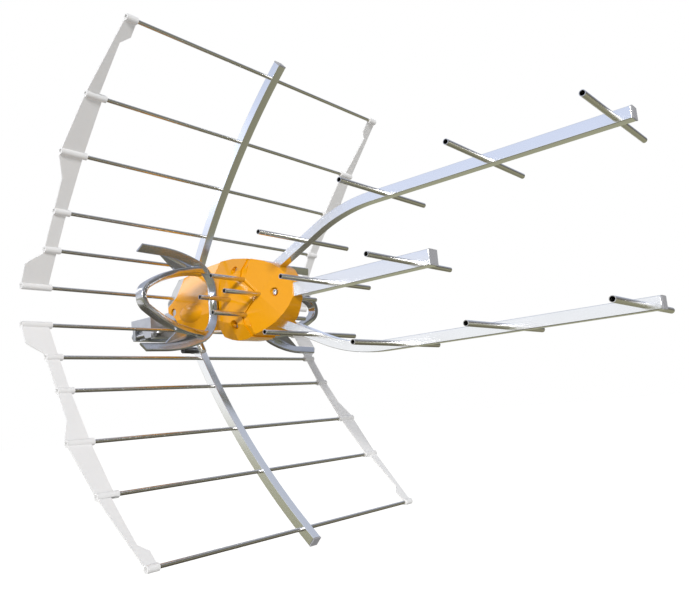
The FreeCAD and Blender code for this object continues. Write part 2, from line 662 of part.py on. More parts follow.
# Connector
collar_top, collar_end, collar_reach = PORT_COLLAR
mouth = port_root - up_boom * PORT_REACH
tail_end = port_root + up_boom * PORT_TAIL
port = tilted(tail_end, -1, collar_top, collar_end, collar_reach + PORT_TAIL)
port = port.common(box(-WIDE, WIDE, -WIDE, WIDE, -WIDE, PORT_AT[2]))
barrel = tilted(mouth, 1, PORT_D, PORT_D, PORT_REACH - collar_reach / 2)
tail = tilted(tail_end, -1, PORT_TAIL_D, PORT_TAIL_D, PORT_TAIL + collar_reach / 2)
port = port.fuse([barrel, tail])
nodes["f_connector"] = port.cut(tilted(mouth, 1, PORT_BORE_D, PORT_BORE_D, PORT_BORE)).removeSplitter()
insulator_d = PORT_BORE_D - 2 * FIT
insulator = tilted(mouth, 1, insulator_d, insulator_d, PORT_BORE)
insulator = insulator.cut(tilted(mouth, 1, PORT_D, PORT_D, INSULATOR_SET))
nodes["connector_insulator"] = insulator.cut(tilted(mouth, 1, PIN_HOLE_D, PIN_HOLE_D, PIN_DEPTH))

# Mast bracket
clamp_low = CLAMP_TOP_Z - CLAMP_LENGTH
flange_profile = ((WEB_Y, clamp_low),) + FLANGE_NOSE
flange_profile += ((FLANGE_END_Y, BRACKET_TOP_Z), (WEB_Y, BRACKET_TOP_Z))
bracket = box(-BRACKET_HALF, BRACKET_HALF, WEB_Y, WEB_Y + PLATE_T, clamp_low, BRACKET_TOP_Z)
for x in (-BRACKET_HALF, BRACKET_HALF - PLATE_T):
    bracket = bracket.fuse(prism([V(x, y, z) for y, z in flange_profile], V(PLATE_T, 0, 0)))
tongue = box(-TONGUE_HALF, TONGUE_HALF, TONGUE_FRONT_Y, WEB_Y, TONGUE_Z[0], TONGUE_Z[1])
web_top = box(-TONGUE_HALF, TONGUE_HALF, WEB_Y, WEB_Y + PLATE_T, BRACKET_TOP_Z, TONGUE_Z[1])
bracket = bracket.fuse([tongue, web_top]).removeSplitter()
bracket = bracket.cut(bar(-WIDE, WIDE, cross_y, cross_z, CROSS_D + 2 * FIT))
vial_y = WEB_Y - VIAL_SINK
bracket = bracket.cut(bar(-VIAL_HALF, VIAL_HALF, vial_y, VIAL_Z, VIAL_D + 2 * FIT))
nodes["level_vial"] = bar(-VIAL_HALF, VIAL_HALF, vial_y, VIAL_Z, VIAL_D)

# Cross bolt and nut through the tongue
cross_bolt = bar(-CROSS_SEAT_X, CROSS_SEAT_X + CROSS_END, cross_y, cross_z, CROSS_D)
hex_yz = [(cross_y + a, cross_z + b) for a, b in hexagon(CROSS_FLATS)]
cross_head = prism([V(-CROSS_SEAT_X - CROSS_HEAD, y, z) for y, z in hex_yz], V(CROSS_HEAD, 0, 0))
cross_nut = prism([V(CROSS_SEAT_X, y, z) for y, z in hex_yz], V(CROSS_NUT, 0, 0))
nodes["bracket_bolt"] = cross_bolt.fuse(cross_head).removeSplitter()
nodes["bracket_nut"] = cross_nut.cut(bar(0, WIDE, cross_y, cross_z, CROSS_D + 2 * FIT))

# Mast saddle and sliding jaw
mast = post(-WIDE, WIDE, 0, MAST_Y, 2 * MAST_R)
arc_front = MAST_Y - MAST_R + SADDLE_REACH
saddle_block = box(-SADDLE_X, SADDLE_X, WEB_Y + PLATE_T, arc_front, clamp_low, CLAMP_TOP_Z)
nodes["mast_saddle"] = saddle_block.cut(mast)
arc_rear = 2 * MAST_Y - arc_front
jaw_back = MAST_Y + MAST_R + JAW_BACK_T
jaw = box(-SADDLE_X, SADDLE_X, arc_rear, jaw_back, clamp_low, CLAMP_TOP_Z)
jaw = jaw.fuse(box(-JAW_X, JAW_X, MAST_Y + MAST_R, jaw_back, clamp_low, CLAMP_TOP_Z)).cut(mast)
bolts = []
washers = []
nuts = []
washer_y = WEB_Y - WASHER_T
for x in (-BOLT_X, BOLT_X):
    jaw = jaw.cut(shaft(MAST_Y, jaw_back, x, BOLT_Z, BOLT_D + 2 * FIT))
    dome = Part.makeSphere(BOLT_HEAD_D, V(x, jaw_back + BOLT_HEAD - BOLT_HEAD_D, BOLT_Z))
    head = shaft(jaw_back, jaw_back + BOLT_HEAD, x, BOLT_Z, BOLT_HEAD_D).common(dome)
    bolts.append(head.fuse(shaft(BOLT_END_Y, jaw_back, x, BOLT_Z, BOLT_D)).removeSplitter())
    bore = shaft(BOLT_END_Y, MAST_Y, x, BOLT_Z, BOLT_D + 2 * SLIDE_FIT)
    bracket = bracket.cut(bore)
    washers.append(shaft(washer_y, WEB_Y, x, BOLT_Z, WASHER_D).cut(bore))
    hex_xz = [(x + a, BOLT_Z + b) for a, b in hexagon(NUT_FLATS)]
    nuts.append(front_prism(hex_xz, washer_y - NUT_T, washer_y).cut(bore))
nodes["mast_bracket"] = bracket
nodes["clamp_jaw"] = jaw.removeSplitter()
nodes["clamp_bolts"] = Part.makeCompound(bolts)
nodes["clamp_washers"] = Part.makeCompound(washers)
nodes["clamp_nuts"] = Part.makeCompound(nuts)

to_clamp = V(0, -MAST_Y, CLAMP_LENGTH / 2 - CLAMP_TOP_Z)
for name, shape in nodes.items():
    moved = shape.copy()
    moved.translate(to_clamp)
    moved.exportStep("parts/%s.step" % name)
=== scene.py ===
"""Looks of a UHF television antenna: orange housing, cast dipole, drawn rods and bright booms.

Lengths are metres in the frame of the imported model: X runs along the rods, the directors
point to -Y, +Z is up and the origin lies on the mast axis inside the clamp.
"""

import json
import logging
import math
from dataclasses import dataclass, field
from enum import Enum

import bmesh
import bpy
from mathutils import Matrix, Vector


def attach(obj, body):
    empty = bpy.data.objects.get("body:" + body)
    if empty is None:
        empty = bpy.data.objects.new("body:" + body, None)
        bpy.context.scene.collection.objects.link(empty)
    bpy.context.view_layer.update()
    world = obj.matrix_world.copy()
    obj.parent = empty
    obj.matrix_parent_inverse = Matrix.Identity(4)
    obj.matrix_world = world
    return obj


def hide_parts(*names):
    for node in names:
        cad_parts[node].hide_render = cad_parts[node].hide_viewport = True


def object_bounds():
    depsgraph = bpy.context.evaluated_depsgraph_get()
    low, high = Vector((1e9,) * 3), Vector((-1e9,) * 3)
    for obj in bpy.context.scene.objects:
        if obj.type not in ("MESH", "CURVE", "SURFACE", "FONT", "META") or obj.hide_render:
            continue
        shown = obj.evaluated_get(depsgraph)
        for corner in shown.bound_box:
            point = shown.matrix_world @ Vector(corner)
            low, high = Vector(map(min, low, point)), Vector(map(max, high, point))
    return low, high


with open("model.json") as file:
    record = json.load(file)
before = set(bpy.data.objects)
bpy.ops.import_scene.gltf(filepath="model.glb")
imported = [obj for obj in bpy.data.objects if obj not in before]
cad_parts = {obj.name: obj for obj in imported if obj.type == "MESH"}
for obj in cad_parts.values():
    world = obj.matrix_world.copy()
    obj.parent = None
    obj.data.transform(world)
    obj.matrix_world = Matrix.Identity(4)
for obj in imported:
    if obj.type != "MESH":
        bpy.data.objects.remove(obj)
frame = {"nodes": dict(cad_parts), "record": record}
CAD_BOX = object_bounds()
LOG = logging.getLogger("antenna")
MM = 0.001
QUARTER_TURN = math.pi / 2
# Vertices nearer than WELD are merged, and faces level to within FLAT_DEG become one.
WELD = 0.002 * MM
FLAT_DEG = 0.4
# Coordinates shrink by this factor along drawn lines, which makes the lines long.
LINE_STRETCH = 0.02
# A thread's crest lies between these shares of its pitch.
CREST_SPAN = (0.4, 0.6)
# A ball of diameter 1, to be scaled.
UNIT_BALL_RADIUS = 0.5

Colour = tuple[float, float, float]
Outline = list[tuple[float, float]]
Value = float | tuple[float, ...] | Vector | bpy.types.NodeSocket
WHITE: Colour = (1.0, 1.0, 1.0)


class Grain(Enum):
    """Axis along which the drawn or rolled lines of a metal are long."""

    ALONG_X = (LINE_STRETCH, 1.0, 1.0)
    ALONG_Y = (1.0, LINE_STRETCH, 1.0)
    NONE = (1.0, 1.0, 1.0)


class Socket(Enum):
    """Kinds of sockets on a node group."""

    VECTOR = "NodeSocketVector"
    COLOUR = "NodeSocketColor"
    NUMBER = "NodeSocketFloat"


class Body(Enum):
    """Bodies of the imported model."""

    ANTENNA = "antenna"
    JAW = "jaw"


class Lamp(Enum):
    """Lamps of the studio, with Blender's type for each."""

    SUN = "SUN"
    PANEL = "AREA"


def spot(x: float, y: float, z: float) -> Vector:
    """Dataclass field with a vector of its own as its default."""
    return field(default_factory=lambda: Vector((x, y, z)))


def opaque(colour: Colour) -> tuple[float, float, float, float]:
    """Colour with full alpha."""
    return (*colour, 1.0)


def placed(name: str, data: bpy.types.ID) -> bpy.types.Object:
    """Puts a new object into the scene.

    Args:
        name: Name of the object.
        data: Its mesh, lamp or camera.

    Returns:
        The object.
    """
    made = bpy.data.objects.new(name, data)
    bpy.context.scene.collection.objects.link(made)
    return made


class NodeSheet:
    """Short way to lay and link shader nodes in one tree."""

    def __init__(self, tree: bpy.types.NodeTree) -> None:
        """Takes over a node tree and empties it."""
        self.tree = tree
        tree.nodes.clear()

    def add(self, kind: str, values: dict[str | int, Value] | None = None,
            **settings: object) -> bpy.types.Node:
        """Adds a node.

        Args:
            kind: Node type without its ShaderNode prefix, or a group's input or output type.
            values: What its inputs get, by name or number.
            settings: Properties to set on the node, before its inputs.

        Returns:
            The new node.
        """
        full = kind if kind.startswith("Node") else "ShaderNode" + kind
        node = self.tree.nodes.new(full)
        for key, value in settings.items():
            setattr(node, key, value)
        self.feed(node.inputs, values or {})
        return node

    def feed(self, inputs: bpy.types.NodeInputs, values: dict[str | int, Value]) -> None:
        """Sets or links inputs.

        Args:
            inputs: Inputs of one node.
            values: Numbers, colours, vectors or output sockets, by the input's name or number.
        """
        for key, value in values.items():
            if isinstance(value, bpy.types.NodeSocket):
                self.tree.links.new(value, inputs[key])
            else:
                inputs[key].default_value = value

    def math(self, operation: str, first: Value, second: Value) -> bpy.types.NodeSocket:
        """Result of a new Math node on two numbers or sockets."""
        return self.add("Math", {0: first, 1: second}, operation=operation).outputs[0]

    def plain(self, kind: str, colour: Colour) -> bpy.types.NodeSocket:
        """Output of a new shader of one colour."""
        return self.add(kind, {"Color": opaque(colour)}).outputs[0]

    def mix(self, share: Value, first: bpy.types.NodeSocket,
            second: bpy.types.NodeSocket) -> bpy.types.NodeSocket:
        """Shader that goes from the first to the second as the share rises."""
        return self.add("MixShader", {0: share, 1: first, 2: second}).outputs[0]

    def fade(self, value: bpy.types.NodeSocket,
             edge: tuple[float, float]) -> bpy.types.NodeSocket:
        """Makes a smooth step.

        Args:
            value: What is measured.
            edge: Where the step starts and ends.

        Returns:
            A share that rises from 0 to 1 across the edge.
        """
        low, high = edge
        step = self.add("MapRange", {"Value": value, "From Min": low, "From Max": high},
                        interpolation_type="SMOOTHSTEP")
        return step.outputs["Result"]

    def by_ray(self, seen: bpy.types.NodeSocket, mirrored: bpy.types.NodeSocket,
               lighting: bpy.types.NodeSocket) -> bpy.types.NodeSocket:
        """Chooses among shaders by the kind of ray that meets them.

        Args:
            seen: Shader to the camera and through glass.
            mirrored: Shader in metal and gloss.
            lighting: Shader that lights the object.

        Returns:
            The mixed shader.
        """
        path = self.add("LightPath").outputs
        direct = self.math("MAXIMUM", path["Is Camera Ray"], path["Is Transmission Ray"])
        return self.mix(direct, self.mix(path["Is Glossy Ray"], lighting, mirrored), seen)


class Effect:
    """Node group that several finishes share, built once."""

    name = "effect"
    detail = 2.0
    inputs: dict[str, Socket] = {}
    outputs: dict[str, Socket] = {}

    @classmethod
    def group(cls) -> bpy.types.NodeTree:
        """Gives the node group, and builds it the first time.

        Returns:
            The group's tree.
        """
        known = bpy.data.node_groups.get(cls.name)
        if known:
            return known
        tree = bpy.data.node_groups.new(cls.name, "ShaderNodeTree")
        for side, sockets in (("INPUT", cls.inputs), ("OUTPUT", cls.outputs)):
            for label, kind in sockets.items():
                tree.interface.new_socket(label, in_out=side, socket_type=kind.value)
        sheet = NodeSheet(tree)
        source = sheet.add("NodeGroupInput").outputs
        target = sheet.add("NodeGroupOutput").inputs
        sheet.feed(target, cls.results(sheet, source))
        return tree

    @classmethod
    def noise(cls, sheet: NodeSheet, source: bpy.types.NodeOutputs) -> bpy.types.NodeSocket:
        """Lays noise at the group's own place and scale.

        Args:
            sheet: Where the node goes.
            source: The group's inputs.

        Returns:
            A value from 0 to 1.
        """
        values = {"Vector": source["Vector"], "Scale": source["Scale"], "Detail": cls.detail}
        return sheet.add("TexNoise", values).outputs["Fac"]

    @classmethod
    def results(cls, sheet: NodeSheet, source: bpy.types.NodeOutputs) -> dict[str, Value]:
        """Lays the nodes of the group and gives its outputs by name."""
        raise NotImplementedError


class Mottle(Effect):
    """Slow change of colour and gloss over a surface, as no real one is even."""

    name = "mottle"
    detail = 4.0
    middle = 0.5
    inputs = {"Vector": Socket.VECTOR, "Colour": Socket.COLOUR, "Scale": Socket.NUMBER,
              "Depth": Socket.NUMBER, "Roughness": Socket.NUMBER, "Spread": Socket.NUMBER}
    outputs = {"Colour": Socket.COLOUR, "Roughness": Socket.NUMBER}

    @classmethod
    def results(cls, sheet: NodeSheet, source: bpy.types.NodeOutputs) -> dict[str, Value]:
        """Darkens the colour and shifts the roughness by cloudy noise.

        Args:
            sheet: Where the nodes go.
            source: The group's inputs.

        Returns:
            The group's outputs by name.
        """
        cloud = cls.noise(sheet, source)
        shade = sheet.math("SUBTRACT", 1.0, sheet.math("MULTIPLY", cloud, source["Depth"]))
        tint = sheet.add("VectorMath", {0: source["Colour"], "Scale": shade}, operation="SCALE")
        off_middle = sheet.math("SUBTRACT", cloud, cls.middle)
        swing = sheet.math("MULTIPLY", off_middle, source["Spread"])
        return {"Colour": tint.outputs[0],
                "Roughness": sheet.math("ADD", source["Roughness"], swing)}


class DrawnLines(Effect):
    """Fine lines left by a die or a rolling mill, on coordinates that are stretched before."""

    name = "drawn_lines"
    inputs = {"Vector": Socket.VECTOR, "Scale": Socket.NUMBER}
    outputs = {"Height": Socket.NUMBER}

    @classmethod
    def results(cls, sheet: NodeSheet, source: bpy.types.NodeOutputs) -> dict[str, Value]:
        """Takes plain noise as the height."""
        return {"Height": cls.noise(sheet, source)}


class Pebble(Effect):
    """Fine grain of a spark-eroded mould or a die casting."""

    name = "pebble"
    blend_scale = 0.5
    inputs = {"Vector": Socket.VECTOR, "Scale": Socket.NUMBER}
    outputs = {"Height": Socket.NUMBER}

    @classmethod
    def results(cls, sheet: NodeSheet, source: bpy.types.NodeOutputs) -> dict[str, Value]:
        """Softens rounded cells by noise.

        Args:
            sheet: Where the nodes go.
            source: The group's inputs.

        Returns:
            The group's outputs by name.
        """
        values = {"Vector": source["Vector"], "Scale": source["Scale"]}
        cells = sheet.add("TexVoronoi", values, feature="SMOOTH_F1").outputs["Distance"]
        blend = sheet.math("ADD", cells, cls.noise(sheet, source))
        return {"Height": sheet.math("MULTIPLY", blend, cls.blend_scale)}


@dataclass(frozen=True)
class Finish:
    """Finish of one kind of surface.

    Colour is linear; scales are cells per metre; bump is the relief in metres.
    """

    slot: str
    colour: Colour
    roughness: float
    metallic: float = 0.0
    coat: float = 0.0
    specular: float = 0.5
    mottle_scale: float = 60.0
    mottle_depth: float = 0.10
    gloss_spread: float = 0.10
    grain: Grain = Grain.NONE
    texture: type[Effect] = Pebble
    texture_scale: float = 1200.0
    bump: float = 0.02 * MM

    def material(self) -> bpy.types.Material:
        """Gives the material, and builds it the first time.

        Returns:
            The material, named for its slot.
        """
        name = self.slot + "_finish"
        known = bpy.data.materials.get(name)
        if known:
            return known
        made = bpy.data.materials.new(name)
        made.use_nodes = True
        sheet = NodeSheet(made.node_tree)
        place = sheet.add("TexCoord").outputs["Object"]
        cloud = {"Vector": place, "Colour": opaque(self.colour), "Scale": self.mottle_scale,
                 "Depth": self.mottle_depth, "Roughness": self.roughness,
                 "Spread": self.gloss_spread}
        mottle = sheet.add("Group", cloud, node_tree=Mottle.group()).outputs
        stretch = sheet.add("Mapping", {"Vector": place, "Scale": self.grain.value})
        lines = {"Vector": stretch.outputs["Vector"], "Scale": self.texture_scale}
        relief = sheet.add("Group", lines, node_tree=self.texture.group())
        bump = sheet.add("Bump", {"Height": relief.outputs["Height"], "Distance": self.bump})
        shader = sheet.add("BsdfPrincipled", {
            "Base Color": mottle["Colour"], "Roughness": mottle["Roughness"],
            "Metallic": self.metallic, "Coat Weight": self.coat,
            "Specular IOR Level": self.specular, "Normal": bump.outputs["Normal"]})
        sheet.add("OutputMaterial", {"Surface": shader.outputs["BSDF"]})
        return made


ORANGE = Finish("housing_orange", (0.85, 0.355, 0.0), 0.11, specular=0.45, mottle_depth=0.04,
                gloss_spread=0.04, bump=0.002 * MM)
COVER_GREY = Finish("cover_grey", (0.62, 0.63, 0.64), 0.45)
SOCKET_BLACK = Finish("socket_black", (0.022, 0.022, 0.024), 0.38)
STRIP_WHITE = Finish("strip_white", (0.92, 0.915, 0.91), 0.40, mottle_depth=0.03,
                     bump=0.003 * MM)
PLUG_GREY = Finish("plug_grey", (0.42, 0.42, 0.44), 0.5)
INSULATOR = Finish("insulator_white", (0.82, 0.81, 0.78), 0.5)
BOARD = Finish("board_green", (0.03, 0.15, 0.06), 0.35, texture_scale=600.0)
VIAL = Finish("vial_green", (0.62, 0.66, 0.03), 0.12, coat=0.5, mottle_depth=0.15)
BOOM = Finish("boom_aluminium", (0.96, 0.965, 0.97), 0.20, metallic=1.0, mottle_scale=25.0,
              mottle_depth=0.03, gloss_spread=0.04, grain=Grain.ALONG_Y, texture=DrawnLines,
              bump=0.0001 * MM)
ROD = Finish("rod_aluminium", (0.74, 0.72, 0.695), 0.26, metallic=1.0, mottle_scale=30.0,
             grain=Grain.ALONG_X, texture=DrawnLines, bump=0.0008 * MM)
DIRECTOR = Finish("director_aluminium", (0.72, 0.70, 0.67), 0.25, metallic=1.0,
                  mottle_scale=30.0, grain=Grain.ALONG_X, texture=DrawnLines,
                  bump=0.0008 * MM)
CASTING = Finish("dipole_casting", (0.68, 0.69, 0.72), 0.20, metallic=1.0, mottle_scale=80.0,
                 texture_scale=700.0, bump=0.001 * MM)
BRACKET = Finish("bracket_zinc", (0.68, 0.69, 0.73), 0.42, metallic=0.85, mottle_scale=120.0,
                 mottle_depth=0.18, grain=Grain.ALONG_X, texture=DrawnLines)
SADDLE = Finish("saddle_zinc", (0.50, 0.51, 0.53), 0.40, metallic=1.0, texture_scale=900.0,
                bump=0.04 * MM)
STEEL = Finish("zinc_steel", (0.60, 0.60, 0.62), 0.30, metallic=1.0, mottle_scale=200.0)
NICKEL = Finish("connector_nickel", (0.72, 0.69, 0.62), 0.22, metallic=1.0, mottle_scale=150.0)
FINISHES = {finish.slot: finish for finish in (
    ORANGE, COVER_GREY, SOCKET_BLACK, STRIP_WHITE, PLUG_GREY, INSULATOR, BOARD, VIAL, BOOM, ROD,
    DIRECTOR, CASTING, BRACKET, SADDLE, STEEL, NICKEL)}
NODE_SLOT = {row["node"]: row["material_slot"] for row in frame["record"]["subparts"]}
NODE_BODY = {node: body for body, nodes in frame["record"]["behaviour"]["bodies"].items()
             for node in nodes}


def finish_of(node: str) -> Finish:
    """Finish that the record names for a node."""
    return FINISHES[NODE_SLOT[node]]


def paint(piece: bpy.types.Object, finish: Finish) -> None:
    """Gives a piece one material."""
    piece.data.materials.clear()
    piece.data.materials.append(finish.material())


def piece_from(bm: bmesh.types.BMesh, name: str, body: str, finish: Finish,
               smooth_deg: float = 35.0) -> bpy.types.Object:
    """Turns a bmesh into a finished piece that rides on a body.

    Args:
        bm: The shape, in place; it is freed.
        name: Name of the piece.
        body: CAD body that it moves with.
        finish: Its finish.
        smooth_deg: Edges flatter than this are shaded smooth.

    Returns:
        The new object.
    """
    mesh = bpy.data.meshes.new(name)
    bm.to_mesh(mesh)
    bm.free()
    mesh.shade_smooth()
    mesh.set_sharp_from_angle(angle=math.radians(smooth_deg))
    piece = placed(name, mesh)
    paint(piece, finish)
    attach(piece, body)
    return piece


def welded(node: str) -> bmesh.types.BMesh:
    """Copies a node's mesh, merged and with its flat faces whole.

    Args:
        node: CAD node to copy.

    Returns:
        The copy, in place.
    """
    bm = bmesh.new()
    bm.from_mesh(frame["nodes"][node].data)
    bmesh.ops.remove_doubles(bm, verts=bm.verts, dist=WELD)
    bmesh.ops.dissolve_limit(bm, angle_limit=math.radians(FLAT_DEG), use_dissolve_boundaries=False,
                             verts=bm.verts, edges=bm.edges, delimit={"NORMAL"})
    return bm


def softened(node: str, radius: float, shortest: float, crease_deg: float = 18.0,
             segments: int = 2) -> bpy.types.Object:
    """Makes a piece with a node's own form and its long edges rounded.

    Args:
        node: CAD node that the piece stands for.
        radius: Width of the rounding.
        shortest: Edges shorter than this stay sharp.
        crease_deg: Edges flatter than this stay as they are.
        segments: Faces across the rounding.

    Returns:
        The piece, which replaces the node.
    """
    bm = welded(node)
    crease = math.radians(crease_deg)
    edges = [edge for edge in bm.edges if edge.is_manifold and edge.calc_length() > shortest
             and edge.calc_face_angle() > crease]
    bmesh.ops.bevel(bm, geom=edges, offset=radius, offset_type="OFFSET", affect="EDGES",
                    segments=segments, profile=0.5, clamp_overlap=True, material=-1)
    piece = piece_from(bm, node + "_finished", NODE_BODY[node], finish_of(node))
    piece.modifiers.new("even_normals", "WEIGHTED_NORMAL").keep_sharp = True
    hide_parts(node)
    return piece


def turned(profile: Outline, place: Matrix, steps: int = 28) -> bmesh.types.BMesh:
    """Turns a form, as on a lathe.

    Args:
        profile: Points (radius, height); it ends on the axis, or at its first point for a ring.
        place: Where the lathe axis, local Z, goes.
        steps: Faces round the axis.

    Returns:
        The closed form.
    """
    bm = bmesh.new()
    row = [bm.verts.new((radius, 0.0, height)) for radius, height in profile]
    for start, end in zip(row, row[1:]):
        bm.edges.new((start, end))
    bmesh.ops.spin(bm, geom=bm.verts[:] + bm.edges[:], cent=(0, 0, 0), axis=(0, 0, 1),
                   angle=math.tau, steps=steps, use_merge=True)
    bmesh.ops.remove_doubles(bm, verts=bm.verts, dist=WELD)
    bmesh.ops.recalc_face_normals(bm, faces=bm.faces)
    bmesh.ops.transform(bm, matrix=place, verts=bm.verts)
    return bm


def ridges(crest: float, root: float, span: tuple[float, float], pitch: float) -> Outline:
    """Draws the outline of a thread, from root to root.

    Args:
        crest: Outer radius.
        root: Inner radius.
        span: Heights between which the thread fits.
        pitch: Height of one turn.

    Returns:
        Points (radius, height), for as many whole turns as fit.
    """
    start, end = span
    crest_start, crest_end = CREST_SPAN
    count = int((end - start) / pitch)
    outline = []
    for turn in range(count):
        foot = start + turn * pitch
        outline += [(root, foot), (crest, foot + crest_start * pitch),
                    (crest, foot + crest_end * pitch)]
    return outline + [(root, start + count * pitch)]


@dataclass
class SubAssembly:
    """Group of pieces that are built and dressed together."""

    nodes: list[str] = field(default_factory=list)
    pieces: list[bpy.types.Object] = field(default_factory=list)

    def build(self) -> None:
        """Makes the new meshes of the group."""
        raise NotImplementedError

    def dress(self) -> None:
        """Gives the nodes that stay as they are their materials."""
        for node in self.nodes:
            paint(frame["nodes"][node], finish_of(node))

    def report(self) -> None:
        """Logs each piece."""
        for piece in self.pieces:
            LOG.info("%s: %d faces", piece.name, len(piece.data.polygons))
        for node in self.nodes:
            LOG.info("%s: finish %s", node, NODE_SLOT[node])


@dataclass
class Housing(SubAssembly):
    """Orange front shells and rear body, with the cover and socket that hold the reflector."""

    shell_radius: float = 0.6 * MM
    cover_radius: float = 0.5 * MM
    shortest_edge: float = 2.5 * MM
    port_mouth: Vector = spot(-12.0 * MM, -115.494 * MM, -46.214 * MM)
    port_lean: float = math.radians(29.3)
    thread_crest: float = 4.92 * MM
    thread_root: float = 4.72 * MM
    thread_inner: float = 4.50 * MM
    thread_span: tuple[float, float] = (0.5 * MM, 13.6 * MM)
    thread_pitch: float = 0.8 * MM

    def thread(self) -> bpy.types.Object:
        """Makes the thread on the connector's barrel.

        Returns:
            A ridged ring, measured from the connector's mouth.
        """
        outline = ridges(self.thread_crest, self.thread_root, self.thread_span, self.thread_pitch)
        low, high = outline[0][1], outline[-1][1]
        outline += [(self.thread_inner, high), (self.thread_inner, low), outline[0]]
        place = Matrix.Translation(self.port_mouth) @ Matrix.Rotation(-self.port_lean, 4, "X")
        return piece_from(turned(outline, place), "connector_thread", Body.ANTENNA.value, NICKEL)

    def build(self) -> None:
        """Rounds the mouldings' edges and cuts the connector's thread."""
        self.pieces.append(self.thread())
        for node in ("left_front_shell", "right_front_shell", "rear_body"):
            self.pieces.append(softened(node, self.shell_radius, self.shortest_edge))
        for node in ("rear_cover", "reflector_socket"):
            self.pieces.append(softened(node, self.cover_radius, self.shortest_edge))
        self.nodes += ["housing_screws", "balun_board", "f_connector", "connector_insulator"]


@dataclass
class Dipole(SubAssembly):
    """The two cast halves of the driven loop."""

    smooth_deg: float = 45.0

    def build(self) -> None:
        """Merges the castings so that their round edges shade smoothly."""
        for node in ("left_dipole", "right_dipole"):
            piece = piece_from(welded(node), node + "_finished", NODE_BODY[node],
                               finish_of(node), self.smooth_deg)
            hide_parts(node)
            self.pieces.append(piece)


@dataclass
class Booms(SubAssembly):
    """Square booms with rolled corners, their end plugs and the director tubes."""

    corner_radius: float = 0.7 * MM
    shortest_edge: float = 9.0 * MM
    crease_deg: float = 60.0

    def build(self) -> None:
        """Rounds the long corners of the booms, and takes plugs and tubes as they are."""
        for node in sorted(frame["nodes"]):
            if node.endswith("_boom"):
                self.pieces.append(softened(node, self.corner_radius, self.shortest_edge,
                                            self.crease_deg))
            elif NODE_SLOT[node] in (PLUG_GREY.slot, DIRECTOR.slot):
                self.nodes.append(node)


@dataclass
class Reflector(SubAssembly):
    """Rods of the two panels and the white strips on their ends."""

    strip_radius: float = 0.4 * MM
    shortest_edge: float = 4.0 * MM
    crease_deg: float = 40.0

    def build(self) -> None:
        """Rounds the strips' edges and takes the rods as they are."""
        for node in sorted(frame["nodes"]):
            if node.endswith("_end_strip"):
                self.pieces.append(softened(node, self.strip_radius, self.shortest_edge,
                                            self.crease_deg))
            elif NODE_SLOT[node] == ROD.slot:
                self.nodes.append(node)


